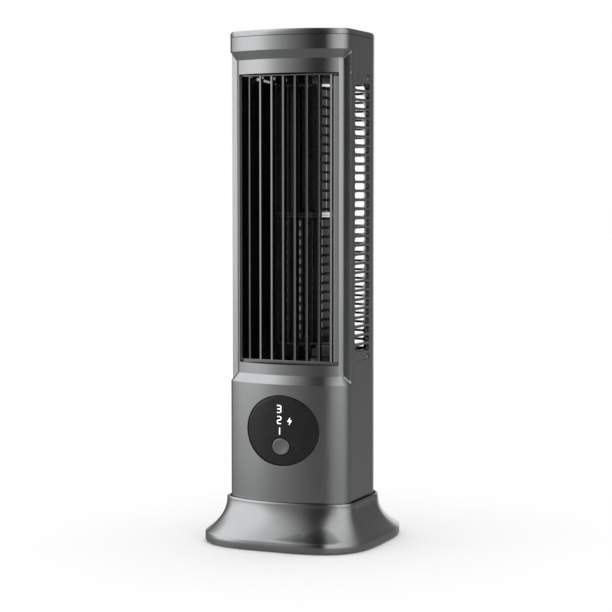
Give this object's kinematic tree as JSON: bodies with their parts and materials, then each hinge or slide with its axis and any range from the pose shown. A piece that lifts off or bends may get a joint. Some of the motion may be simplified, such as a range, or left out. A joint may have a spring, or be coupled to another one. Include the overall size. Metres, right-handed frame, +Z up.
{
  "type": "tower fan",
  "caption": "Rechargeable tabletop tower fan with a slim rounded housing, upright outlet fins, side intake slots, round touch display and a flared base.",
  "frame": {"origin": "middle of the base, on the floor under the rubber feet", "axes": "+Z up, -Y out of the air outlet and display, +X to the right of someone facing the outlet"},
  "size_m": [0.101, 0.099, 0.286],
  "materials": {
    "painted": "satin metallic gunmetal paint",
    "black_plastic": "satin black",
    "rubber": "matt",
    "bronze": "satin",
    "steel": "satin zinc plated",
    "white_plastic": "matt",
    "lens": "gloss smoked black",
    "light_window": "translucent white",
    "button_paint": "satin metallic paint",
    "circuit_board": "satin",
    "led": "gloss",
    "cell_wrap": "gloss",
    "lead_red": "satin",
    "lead_black": "satin"
  },
  "bodies": {
    "body": {"front_housing": "painted", "rear_cover": "painted", "top_cap": "painted", "outlet_grille": "painted", "outlet_tongue": "painted", "base_skirt": "painted", "air_guide": "black_plastic", "bearing_plate": "black_plastic", "motor_mount": "black_plastic", "battery_cradle": "black_plastic", "base_plate": "black_plastic", "bearing_rubber": "rubber", "foot_front_left": "rubber", "foot_front_right": "rubber", "foot_rear_left": "rubber", "foot_rear_right": "rubber", "bearing_sleeve": "bronze", "motor_can": "steel", "motor_screw_1": "steel", "motor_screw_2": "steel", "switch_body": "steel", "charge_socket": "steel", "base_screw_1": "steel", "base_screw_2": "steel", "base_screw_3": "steel", "base_screw_4": "steel", "cover_screw_1": "steel", "cover_screw_2": "steel", "cover_screw_3": "steel", "cover_screw_4": "steel", "ballast_weight": "steel", "motor_end_bell": "white_plastic", "light_baffle": "white_plastic", "display_lens": "lens", "window_one": "light_window", "window_two": "light_window", "window_three": "light_window", "window_bolt": "light_window", "main_board": "circuit_board", "charge_board": "circuit_board", "led_one": "led", "led_two": "led", "led_three": "led", "led_bolt": "led", "battery_cell": "cell_wrap", "motor_lead_red": "lead_red", "battery_lead_red": "lead_red", "charge_lead_red": "lead_red", "motor_lead_black": "lead_black", "battery_lead_black": "lead_black", "charge_lead_black": "lead_black"},
    "rotor": {"motor_shaft": "steel", "drive_bush": "bronze", "rotor_lower": "black_plastic", "rotor_upper": "black_plastic", "rotor_pin": "steel"},
    "button": {"power_button": "button_paint", "switch_plunger": "black_plastic"}
  },
  "joints": [
    {"name": "rotor_spin", "type": "hinge", "parent": "body", "child": "rotor", "pos_m": [0, 0.006, 0.18], "axis": [0, 0, 1], "continuous": true},
    {"name": "button_press", "type": "slide", "parent": "body", "child": "button", "axis": [0, 1, 0], "range_m": [0, 0.0006], "stiffness_N_per_m": 800}
  ]
}
